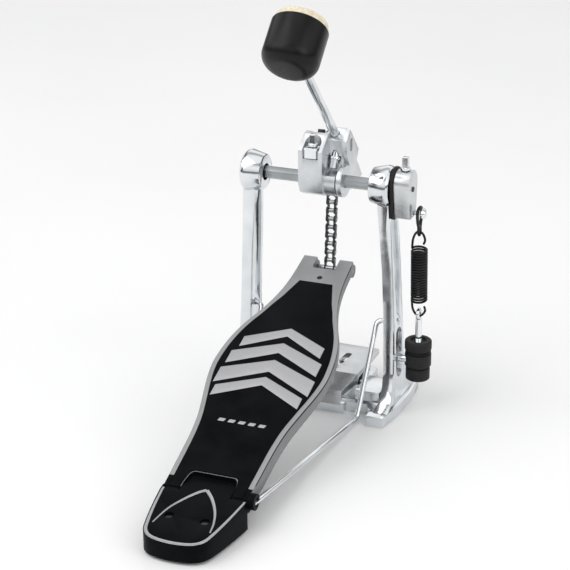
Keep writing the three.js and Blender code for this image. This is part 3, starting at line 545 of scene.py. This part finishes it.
def footboard():
    bm = bmesh.new()
    add_prism(bm, board_outline(0, 0.5, BOARD_END), BOARD_TOP - 14, BOARD_TOP, BOARD_FRAME)
    board = as_object("footboard_look", bm, BOARD, BOARD_SHADED_SIDE, PANEL)
    side = [(0.5, BOARD_TOP), (0.5, BOARD_TOP - 7), (7, BOARD_TOP - 12.4)]
    side += curve((30, BOARD_TOP - 12.4), (80, BOARD_TOP - 11.8), (130, BOARD_TOP - 9), 16)
    side += [(264, BOARD_TOP - 9), (264, BOARD_TOP)]
    combined(board, "INTERSECT", [tool(add_prism, side, -60, 60, BOARD_FRAME @ ALONG_X)])
    toe = BOARD_FRAME.inverted() @ TOE_PIN
    gap = KNUCKLE_RADIUS + HINGE_CLEARANCE
    under_pin = [(-10, -20), (8, -20), (8, -3.4), (-10, -3.4)]
    chain_slot = softened([(-9.6, 249), (9.6, 249), (9.6, 280), (-9.6, 280)], 3)
    cutters = [
        tool(add_prism, board_outline(4, 24, 236), BOARD_TOP - 20, BOARD_TOP - 3.6, BOARD_FRAME),
        tool(add_prism, inlay_outline(3.6, -2, 232, 0.4), BOARD_TOP - 1.2, BOARD_TOP + 5, BOARD_FRAME),
        tool(add_prism, chain_slot, -30, 30, BOARD_FRAME),
        tool(add_prism, arc((0, 0), gap, 0, 360, 48)[:-1], -50, 50, BOARD_FRAME @ ALONG_X),
        tool(add_prism, under_pin, -31, 31, BOARD_FRAME @ ALONG_X),
    ]
    combined(board, "DIFFERENCE", cutters)
    lugs = [tool(add_prism, arc((toe.y, toe.z), 5.4, 0, 360, 40)[:-1], s[0], s[1], BOARD_FRAME @ ALONG_X)
            for s in ((-20.6, -10), (10, 20.6))]
    knuckle = arc((0, 0), KNUCKLE_RADIUS, 49, 313, 40) + [(12, -3.4), (12, BOARD_TOP - 1.3)]
    knuckles = [tool(add_prism, knuckle, s[0], s[1], BOARD_FRAME @ ALONG_X)
                for s in ((-30.3, -20.4), (20.4, 30.3))]
    combined(board, "UNION", lugs + knuckles)
    cutters = [
        tool(add_prism, heel_notch(), -30, 30, BOARD_FRAME),
        tool(add_prism, arc((toe.y, toe.z), 2.3, 0, 360, 24)[:-1], -40, 40, BOARD_FRAME @ ALONG_X),
        tool(add_prism, arc((0, 0), 3.5, 0, 360, 24)[:-1], -40, 40, BOARD_FRAME @ ALONG_X),
        tool(add_prism, arc((0.8, 238), 2.2, 0, 360, 20)[:-1], -30, 30, BOARD_FRAME),
    ]
    combined(board, "DIFFERENCE", cutters)
    up = BOARD_FRAME.to_3x3() @ Vector((0, 0, 1))
    back = BOARD_FRAME.inverted()
    # Faces at the heel end take the black panel coat. Upward faces take the silver coat, and the rest take
    # its darker copy, which is painted shade.
    for face in board.data.polygons:
        place = back @ (face.center / MM)
        if place.y < 24 and abs(place.x) < 30.6:
            face.material_index = 2
        else:
            face.material_index = 0 if face.normal.dot(up) > 0.5 else 1
    eased(board, 0.55, 3, 35)
    return placed(board, "footboard", "board_paint", "footboard")


def board_shade_seam():
    """The thin black strip that runs round the board between its top face and its side walls: painted shade
    of the gap between them.
    """
    low, high = BOARD_TOP - 1.8, BOARD_TOP - 0.5
    bm = bmesh.new()
    add_prism(bm, board_outline(-0.06, 16, 257, 120), low, high, BOARD_FRAME)
    # A black strip of painted shade just under the top face's edge.
    seam = as_object("board_shade_seam_look", bm, PANEL)
    combined(seam, "DIFFERENCE", [
        tool(add_prism, board_outline(0.7, 10, 270, 120), low - 1, high + 1, BOARD_FRAME),
    ])
    return placed(smoothed(seam, 30), "footboard", "panel_black")


def board_plate(name, outline, low, high, material, slot, ease=0.15):
    """A thin plate on the board, of one outline, measured from the board's top face."""
    bm = bmesh.new()
    add_prism(bm, outline, BOARD_TOP + low, BOARD_TOP + high, BOARD_FRAME)
    plate = as_object(name, bm, material)
    return placed(eased(plate, ease, 2, 35), "footboard", slot)


def footboard_panel():
    bm = bmesh.new()
    add_prism(bm, inlay_outline(4, 1, 231.6), BOARD_TOP - 0.9, BOARD_TOP + 0.1, BOARD_FRAME)
    panel = as_object("footboard_panel_look", bm, PANEL)
    round_hinge = arc((0, 0), KNUCKLE_RADIUS + 2 * HINGE_CLEARANCE, 0, 360, 48)[:-1]
    combined(panel, "DIFFERENCE", [
        tool(add_prism, heel_notch(0.45), -30, 30, BOARD_FRAME),
        tool(add_prism, round_hinge, -50, 50, BOARD_FRAME @ ALONG_X),
    ])
    return placed(eased(panel, 0.2, 2, 35), "footboard", "panel_black", "footboard_panel")


def chevron(base, rise, thickness, margin):
    """A broad V across the board, clear of its edge by a margin."""
    reach = [board_half_width(base + rise * 0.5) - margin, board_half_width(base) - margin]
    half = min(reach)
    left = [(-half, base), (0, base + rise), (half, base)]
    right = [(x, y - thickness * (1.25 if x else 1)) for x, y in reversed(left)]
    return left + right


def board_pattern():
    """A generic pattern of nested chevrons, and a row of short bars below it."""
    for i, (base, thickness) in enumerate(((160, 9), (143, 11), (124, 13), (105, 9))):
        plate = chevron(base, 16, thickness, 8)
        board_plate(f"board_chevron_{i}", plate, 0, 0.35, MARKING, "board_paint", 0.12)
    for i in range(5):
        x = -16 + 8 * i
        bar = softened([(x - 3, 70), (x + 2, 70), (x + 3, 73), (x - 2, 73)], 0.6, 3)
        board_plate(f"board_dash_{i}", bar, 0, 0.3, MARKING, "board_paint", 0.1)


footboard()
board_shade_seam()
footboard_panel()
board_pattern()

# ---------- heel plate ----------

HEEL_CORNER = (33, -224)


def heel_outline():
    """The heel plate's plan from its front corner on the +X side round to the other one."""
    side = curve(HEEL_CORNER, (29.8, -250), (25.5, -267), 16)
    rear = curve((25.5, -267), (23, -276), (14, -278.6), 10)[1:]
    back = curve((14, -278.6), (0, -282), (-14, -278.6), 12)[1:]
    return side + rear + back + [(-x, y) for x, y in reversed(side + rear[:-1])]


def heel_height(y):
    """The top face's height above the floor at a place along the plate."""
    return 23.7 + (y + 220) * 0.138


def heel_plate():
    bm = bmesh.new()
    add_prism(bm, [(-33.3, -210), (33.3, -210)] + heel_outline(), 2.3, 40)
    plate = as_object("heel_plate_look", bm, HEEL)
    side = [(-221.5, 2.3), (-221.5, heel_height(-221.5)), (-300, heel_height(-300)), (-300, 2.3)]
    combined(plate, "INTERSECT", [tool(add_prism, side, -50, 50, ALONG_X)])
    pin = (HEEL_PIN.y, HEEL_PIN.z)
    knuckle_way = arc(pin, KNUCKLE_RADIUS + HINGE_CLEARANCE, 0, 360, 48)[:-1]
    round_knuckles = tool(add_prism, knuckle_way, -30.7, 30.7, ALONG_X)
    under_pin = [(-225.4, 0), (-200, 0), (-200, 19), (-225.4, 19)]
    combined(plate, "DIFFERENCE", [round_knuckles, tool(add_prism, under_pin, -30.7, 30.7, ALONG_X)])
    tongue = [(-232, 10), (-219, 13.4), (-206, 20.4), (-202.6, 24)]
    tongue += [(y, heel_height(y)) for y in (-202.6, -232)]
    plan = softened([(-19.6, -240), (-19.3, -211), (-17, -202), (17, -202), (19.3, -211), (19.6, -240)], 4)
    lip = tool(add_prism, tongue, -19.6, 19.6, ALONG_X)
    combined(lip, "INTERSECT", [tool(add_prism, plan, 0, 60)])
    ears = [tool(add_prism, arc(pin, KNUCKLE_RADIUS, 0, 360, 40)[:-1], s[0], s[1], ALONG_X)
            for s in ((-33.3, -31), (31, 33.3))]
    combined(plate, "UNION", [lip] + ears)
    recesses = [tool(add_prism, arc((s * 13.6, -250.6), 3.4, 0, 360, 28)[:-1], 16.4, 60) for s in (-1, 1)]
    pin_way = tool(add_prism, arc(pin, WIRE_RADIUS + 0.5, 0, 360, 24)[:-1], -40, 40, ALONG_X)
    left_rod = [(0, -244), (2.6, -244), (2.6, -216), (0, -216)]
    rod_way = tool(add_lathe, left_rod, 24, aimed((0, 1, 0), (-28.3, 0, 10.8)))
    combined(plate, "DIFFERENCE", recesses + [pin_way, rod_way])
    return placed(eased(plate, 0.9, 4, 30), "frame", "heel_black", "heel_plate")


def heel_line(name, path, width):
    """A raised silver line on the heel plate's top, lens-shaped across and tapered at its ends."""
    bm = bmesh.new()
    rows = []
    for i, point in enumerate(path):
        ahead = path[min(i + 1, len(path) - 1)] - path[max(i - 1, 0)]
        side = Vector((-ahead.y, ahead.x)).normalized()
        w = width(i / (len(path) - 1)) / 2
        row = []
        for across, lift in ((-1, -0.3), (-0.8, 0.16), (0, 0.3), (0.8, 0.16), (1, -0.3)):
            spot = point + side * w * across
            row.append(bm.verts.new((spot.x, spot.y, heel_height(spot.y) + lift)))
        rows.append(row)
    for a, b in zip(rows, rows[1:]):
        for k in range(5):
            j = (k + 1) % 5
            bm.faces.new((a[k], a[j], b[j], b[k]))
    bm.faces.new(rows[0])
    bm.faces.new(reversed(rows[-1]))
    return placed(smoothed(as_object(name, bm, HEEL_LINE), 40), "frame", "chrome_wire")


def heel_lines():
    rim = pulled_in([(33, -222)] + heel_outline() + [(-33, -222)], -1.8)
    heel_line("heel_rim_line", rim, lambda t: 2 + 1.1 * math.sin(math.pi * t))
    left = flowing([(-21.2, -261.4), (-17.6, -244), (-11, -230), (-5, -221), (-0.2, -216.8)], 8)
    right = flowing([(0.2, -216.8), (8, -225.5), (15.6, -238), (20.2, -250.5), (22, -261)], 8)
    heel_line("heel_arch_left", left, lambda t: 1.2 + 2 * t)
    heel_line("heel_arch_right", right, lambda t: 3.2 - 2 * t)


heel_plate()
heel_lines()

# ---------- beater ----------

ROD_UP = Vector((0, -math.sin(ROD_LEAN), math.cos(ROD_LEAN)))
ROD_OUT = Vector((0, -math.cos(ROD_LEAN), -math.sin(ROD_LEAN)))
HEAD = ROD_FOOT + ROD_UP * HEAD_REACH


def beater_rod():
    bm = bmesh.new()
    top = HEAD_REACH - 4
    profile = [(0, -30), (ROD_RADIUS - 0.6, -30), (ROD_RADIUS, -29.4), (ROD_RADIUS, top), (0, top)]
    add_lathe(bm, profile, 40, aimed(ROD_UP, ROD_FOOT))
    rod = as_object("beater_rod_look", bm, CHROME)
    return placed(smoothed(rod, 30), "beater", "chrome_wire", "beater_rod")


def beater_cup():
    corner = arc((HEAD_RADIUS - 11, -HEAD_HALF + 11), 11, -90, 0, 14)
    rim = arc((HEAD_RADIUS - 1, HEAD_HALF - 2.4), 1, 0, 90, 5)
    profile = [(0, -HEAD_HALF - 0.3), (7, -HEAD_HALF - 0.2)] + corner + rim + [(0, HEAD_HALF - 1.4)]
    bm = bmesh.new()
    add_lathe(bm, profile, 96, aimed(-ROD_OUT, HEAD))
    cup = as_object("beater_cup_look", bm, CUP)
    bore = ROD_RADIUS + 0.4
    socket = tool(add_lathe, [(0, -40), (bore, -40), (bore, -3.7), (0, -3.7)], 32, aimed(ROD_UP, HEAD))
    combined(cup, "DIFFERENCE", [socket])
    return placed(smoothed(cup, 30), "beater", "beater_black", "beater_cup")


def beater_felt():
    """The felt disc, with the slight lumps and loose face of pressed wool."""
    low = HEAD_HALF - 1.1
    edge = arc((HEAD_RADIUS - 4.2, low + 3.4), 3, 0, 80, 7)
    dome = [(HEAD_RADIUS * 0.62, low + 7.2), (HEAD_RADIUS * 0.42, low + 8), (HEAD_RADIUS * 0.2, low + 8.4)]
    bm = bmesh.new()
    profile = [(0, low), (HEAD_RADIUS - 1.2, low)] + edge + dome + [(0, low + 8.6)]
    add_lathe(bm, profile, 96, aimed(-ROD_OUT, HEAD))
    bmesh.ops.subdivide_edges(bm, edges=bm.edges, cuts=1, use_grid_fill=True)
    axis = -ROD_OUT
    for v in bm.verts:
        lump = noise(v.co * 0.35) * 0.22 + noise(v.co * 1.4) * 0.12
        out = v.co - HEAD
        out -= axis * out.dot(axis)
        if (v.co - HEAD).dot(axis) > low + 0.4 and out.length > 1e-6:
            v.co += (out.normalized() * 0.5 + axis * 0.5) * (lump - 0.5)
    return placed(smoothed(as_object("beater_felt_look", bm, FELT), 60), "beater", "felt", "beater_felt")


beater_rod()
beater_cup()
beater_felt()

# ---------- chain ----------

STRAND_LENGTH = CHAIN_PITCH * CHAIN_LINKS
TOE_ANGLE = math.atan2(TOE_PIN.z - AXLE.z, TOE_PIN.y)
TANGENT = TOE_ANGLE + math.atan2(STRAND_LENGTH, CHAIN_RADIUS)


def on_cam(angle):
    return Vector((0, CHAIN_RADIUS * math.cos(angle), AXLE.z + CHAIN_RADIUS * math.sin(angle)))


def waisted(a, b, end=2.75, waist=2.0):
    """The figure-of-eight outline of a chain plate between two pins, in (y, z)."""
    a, b = Vector((a.y, a.z)), Vector((b.y, b.z))
    way = (b - a).normalized()
    turn = math.degrees(math.atan2(way.y, way.x))
    side = Vector((-way.y, way.x))
    middle = (a + b) / 2
    points = arc(b, end, turn - 118, turn + 118, 12)
    points.append(tuple(middle + side * waist))
    points += arc(a, end, turn + 62, turn + 298, 12)
    points.append(tuple(middle - side * waist))
    return points


def chain_piece(name, pins, body, node):
    """A run of links: plates in pairs, wide ones outside narrow ones, on rollers and riveted pins."""
    bm = bmesh.new()
    for i, (a, b) in enumerate(zip(pins, pins[1:])):
        wide = i % 2 == 0
        for s in (-1, 1):
            x = CHAIN_X + s * (3.75 if wide else 2.75)
            add_prism(bm, waisted(a, b), x - 0.42, x + 0.42, ALONG_X)
    plates = as_object(name, bm, CHAIN_PLATE, CHAIN_ROLLER)
    eased(plates, 0.14, 2, 40)
    rollers = bmesh.new()
    rollers.from_mesh(plates.data)
    plate_faces = len(rollers.faces)
    for p in pins:
        for radius, half in ((1.75, 2.25), (1.0, 4.5)):
            profile = [(0, -half), (radius - 0.2, -half), (radius, -half + 0.25), (radius, half - 0.25),
                       (radius - 0.2, half), (0, half)]
            place = Matrix.Scale(MM, 4) @ aimed((1, 0, 0), (CHAIN_X, p.y, p.z))
            add_lathe(rollers, profile, 20, place)
    rollers.faces.ensure_lookup_table()
    for face in rollers.faces[plate_faces:]:
        face.material_index = 1
        face.smooth = True
    rollers.to_mesh(plates.data)
    rollers.free()
    plates.data.set_sharp_from_angle(angle=math.radians(35))
    return placed(plates, body, "chain_steel", node)


def chain():
    low, high = TOE_PIN.copy(), on_cam(TANGENT)
    strand = [low.lerp(high, i / CHAIN_LINKS) for i in range(CHAIN_LINKS + 1)]
    chain_piece("chain_strand_look", strand, "chain", "chain_strand")
    step = CHAIN_PITCH / CHAIN_RADIUS
    wrapped = [on_cam(TANGENT + step * (i + CAM_START)) for i in range(CAM_PINS)]
    chain_piece("chain_on_cam_look", wrapped, "swing", "chain_on_cam")


chain()

# ---------- return spring ----------


def spring_line(z):
    """The point of the spring's axis at a height."""
    return EYE + (HANGER_PIN - EYE) * ((z - EYE.z) / (HANGER_PIN.z - EYE.z))


def spring():
    """One wound wire: a hook in the eyebolt, close turns, and a hook in the hanger."""
    turns, radius, wire = 20, 5.8, 0.92
    low, high = spring_line(94.2), spring_line(138)
    along = (high - low).normalized()
    ahead = Vector((1, 0, 0))
    cross = along.cross(ahead)
    coil = []
    for i in range(turns * 20 + 1):
        a = TAU * i / 20
        coil.append(low.lerp(high, i / (turns * 20)) - radius * (math.cos(a) * ahead + math.sin(a) * cross))
    lower = flowing([
        spring_line(89.6) + ahead * 4.2, spring_line(86) + ahead * 5, spring_line(82.6) + ahead * 3,
        spring_line(80.9) + ahead * 0.2, spring_line(82.4) + ahead * -3, spring_line(86.6) + ahead * -5.2,
        spring_line(91) + ahead * -5.7,
    ], 6)
    upper = flowing([
        spring_line(141.4) + ahead * -5.6, spring_line(146) + ahead * -5, spring_line(150.6) + ahead * -3,
        spring_line(152.6), spring_line(150.6) + ahead * 3, spring_line(146) + ahead * 4.6,
        spring_line(142.4) + ahead * 3.4,
    ], 6)
    bm = bmesh.new()
    add_sweep(bm, lower + coil + upper, wire, 10)
    made = smoothed(as_object("return_spring", bm, SPRING_BLACK), 60)
    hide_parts("spring_coil", "spring_lower_hook", "spring_upper_hook")
    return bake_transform(made)


def hanger():
    """The black loop that hangs on the rocker's pin and carries the spring's upper hook."""
    x = SPRING_X = EYE.x
    outline = [(4, 172.2), (8.4, 170.6), (9.2, 166.4), (8, 161), (6.4, 156.6), (6.6, 152.6), (4.7, 149.8),
               (2.6, 152.4), (2.6, 156.4), (0.2, 161), (-1.2, 166.4), (-0.4, 170.6)]
    bm = bmesh.new()
    add_sweep(bm, flowing([(x, y, z) for y, z in outline], 6, True), 1.25, 12, True)
    add_sweep(bm, flowing([(x, 2.9, 156.6), (x, 4.6, 157.4), (x, 6.3, 156.6)], 4), 1.1, 10)
    loop = smoothed(as_object("spring_hanger_look", bm, SPRING_BLACK), 60)
    return placed(loop, "spring_upper", "spring_black", "spring_hanger")


def eyebolt():
    bm = bmesh.new()
    shank = [(0, 28.4), (2.2, 28.4)]
    pitch, count = 0.9, 37
    for i in range(count):
        z = 28.8 + i * pitch
        shank += [(2.65, z + 0.2), (2.35, z + 0.65)]
    shank += [(2.65, 28.8 + count * pitch), (2.65, EYE.z - 4.4), (0, EYE.z - 3.6)]
    add_lathe(bm, shank, 24, Matrix.Translation((EYE.x, EYE.y, 0)))
    ring = [EYE + 3.6 * Vector((0, math.cos(TAU * i / 32), math.sin(TAU * i / 32))) for i in range(32)]
    add_sweep(bm, ring, 1.5, 14, True)
    return placed(smoothed(as_object("eyebolt_look", bm, CHROME), 40), "frame", "chrome_wire", "eyebolt")


def stack_piece(name, profile):
    """A round black moulding on the eyebolt's shank, from its outer profile."""
    bore = 3.05
    low, high = profile[0][1], profile[-1][1]
    bm = bmesh.new()
    closed = [(bore, low)] + profile + [(bore, high)]
    add_lathe(bm, closed, 72, Matrix.Translation((EYE.x, EYE.y, 0)), True)
    return smoothed(as_object(name + "_look", bm, NYLON), 30)


def nut_stack():
    """The cap nut, the block on the post's stud and the lower nut."""
    cap = [(9.7, 50.3), (10.2, 50.7), (10.2, 51.3), (9.3, 51.6),
           (9.3, 52.7), (10.2, 53), (10.7, 53.6), (10.7, 59.2),
           (10.4, 60), (9.7, 60.6), (6.8, 60.7), (6.2, 60.4), (5.8, 59.2)]
    block = [(9.8, 38.9), (10.4, 39.4), (10.5, 40), (10.5, 48.6), (10.3, 49.4), (9.6, 49.8)]
    low = [(8.9, 27.5), (9.5, 28), (9.6, 28.7), (9.6, 36.4), (9.3, 37.2), (8.5, 37.6), (8.5, 38.4)]
    placed(stack_piece("upper_tension_nut", cap), "upper_nut", "nylon_black", "upper_tension_nut")
    placed(stack_piece("lower_tension_nut", low), "lower_nut", "nylon_black", "lower_tension_nut")
    middle = stack_piece("tension_block", block)
    stud = [(0, 60), (3.5, 60), (3.5, 77.3), (0, 77.3)]
    stud_way = tool(add_lathe, stud, 32, aimed((1, 0, 0), (0, 4.5, 44.3)))
    combined(middle, "DIFFERENCE", [stud_way])
    placed(smoothed(middle, 30), "frame", "nylon_black", "tension_block")


spring()
hanger()
eyebolt()
nut_stack()

# ---------- floor, light and camera ----------


def floor():
    bm = bmesh.new()
    add_prism(bm, arc((0, 0), 6000, 0, 360, 96)[:-1], -6, -0.05)
    plane = as_object("studio_floor", bm)
    made, tree, shader = new_material("studio_floor")
    grain = surface_noise(tree, 3, 2)
    tree.links.new(tint(tree, grain, (0.93, 0.93, 0.93), (0.96, 0.96, 0.96)), shader.inputs["Base Color"])
    shader.inputs["Roughness"].default_value = 0.6
    shader.inputs["Specular IOR Level"].default_value = 0.2
    plane.data.materials.append(made)


def panel_light(name, place, aim, size, power):
    lamp = bpy.data.lights.new(name, "AREA")
    lamp.shape = "RECTANGLE"
    lamp.size, lamp.size_y = size
    lamp.energy = power
    holder = bpy.data.objects.new(name, lamp)
    holder.location = place
    holder.rotation_euler = (Vector(aim) - Vector(place)).to_track_quat("-Z", "Y").to_euler()
    bpy.context.scene.collection.objects.link(holder)


def studio_sky():
    """A white tent with a dark band just above the floor and two dark side strips, for polished metal."""
    world = bpy.data.worlds.new("studio")
    world.use_nodes = True
    tree = world.node_tree
    place = tree.nodes.new("ShaderNodeTexCoord")
    parts = tree.nodes.new("ShaderNodeSeparateXYZ")
    tree.links.new(place.outputs["Generated"], parts.inputs["Vector"])

    def bands(axis, stops):
        ramp = tree.nodes.new("ShaderNodeValToRGB")
        while len(ramp.color_ramp.elements) < len(stops):
            ramp.color_ramp.elements.new(0.5)
        for stop, (position, value) in zip(ramp.color_ramp.elements, stops):
            stop.position = position
            stop.color = (value, value, value, 1)
        spread = tree.nodes.new("ShaderNodeMapRange")
        spread.inputs["From Min"].default_value = -1
        tree.links.new(parts.outputs[axis], spread.inputs["Value"])
        tree.links.new(spread.outputs["Result"], ramp.inputs["Fac"])
        return ramp.outputs["Color"]

    upward = bands("Z", [(0, 0.7), (0.47, 0.6), (0.5, 0.1), (0.56, 0.12), (0.61, 0.8), (0.75, 1), (0.84, 0.9),
                         (0.88, 0.4), (0.93, 0.45), (0.97, 1)])
    sideways = bands("X", [(0, 0.9), (0.1, 1), (0.17, 0.2), (0.22, 0.25), (0.28, 1), (0.76, 1), (0.8, 0.35),
                           (0.84, 0.3), (0.9, 1)])
    both = tree.nodes.new("ShaderNodeVectorMath")
    both.operation = "MULTIPLY"
    tree.links.new(upward, both.inputs[0])
    tree.links.new(sideways, both.inputs[1])
    tree.links.new(both.outputs["Vector"], tree.nodes["Background"].inputs["Color"])
    tree.nodes["Background"].inputs["Strength"].default_value = 1.12
    bpy.context.scene.world = world


def camera():
    azimuth, elevation, roll = math.radians(22.14), math.radians(22.17), math.radians(-0.48)
    target, distance = Vector((5.19, -80, 129.25)) * MM, 1.3555
    level = math.cos(elevation)
    back = Vector((math.sin(azimuth) * level, -math.cos(azimuth) * level, math.sin(elevation)))
    right = Vector((math.cos(azimuth), math.sin(azimuth), 0))
    up = back.cross(right)
    turned_right = math.cos(roll) * right + math.sin(roll) * up
    turned_up = math.cos(roll) * up - math.sin(roll) * right
    lens = bpy.data.cameras.new("camera")
    lens.sensor_width = 36
    lens.lens = 114.57
    lens.clip_end = 50
    made = bpy.data.objects.new("camera", lens)
    made.matrix_world = Matrix.Translation(target + back * distance) @ Matrix(
        (turned_right, turned_up, back)).transposed().to_4x4()
    bpy.context.scene.collection.objects.link(made)
    bpy.context.scene.camera = made


floor()
studio_sky()
panel_light("key_light", (-1.4, -1.2, 2.2), (0, 0, 0.12), (2.4, 2.4), 33)
panel_light("fill_light", (1.9, -0.8, 1.4), (0, 0, 0.12), (1.6, 2.0), 12)
camera()
bpy.context.scene.view_settings.view_transform = "Standard"
